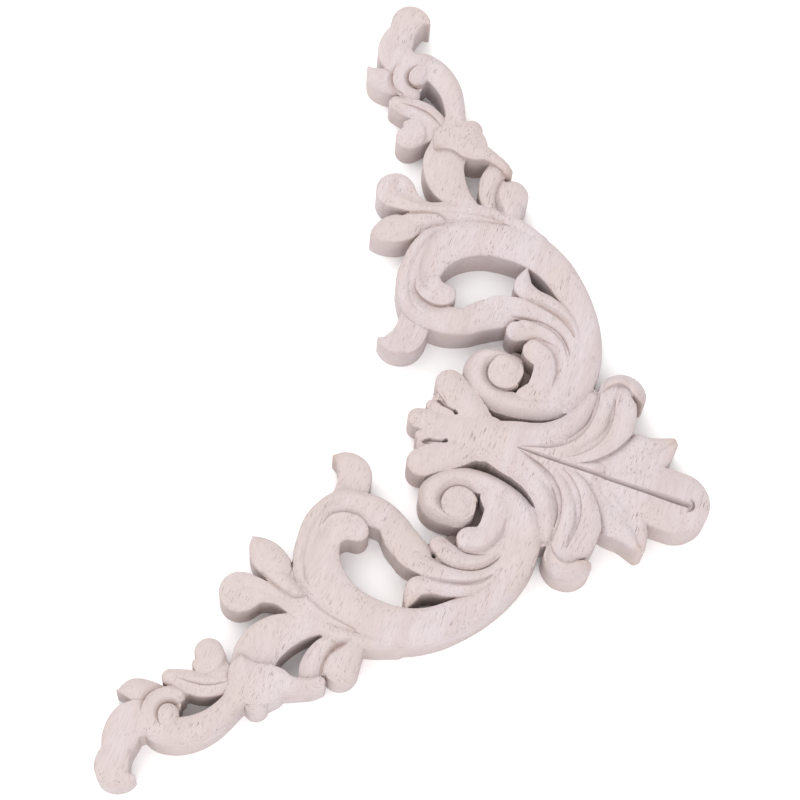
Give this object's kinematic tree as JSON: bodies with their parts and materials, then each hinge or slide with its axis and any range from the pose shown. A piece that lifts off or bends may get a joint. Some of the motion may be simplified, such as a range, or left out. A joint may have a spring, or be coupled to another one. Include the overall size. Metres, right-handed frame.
{
  "type": "carved corner onlay",
  "caption": "Openwork carved wooden corner onlay: scrolling acanthus arms meet at a leaf on the corner, with a flat back for gluing.",
  "frame": {"origin": "on the flat back, under the middle of the onlay's square outline; the onlay lies on its back", "axes": "+Z out of the carved face; the two arms run along -X and -Y from the corner, and the centre leaf points towards +X+Y along the diagonal of symmetry"},
  "size_m": [0.199, 0.199, 0.0137],
  "materials": {
    "wood": "raw, sanded, unfinished"
  },
  "bodies": {
    "root": {"corner_onlay": "wood"}
  },
  "joints": []
}
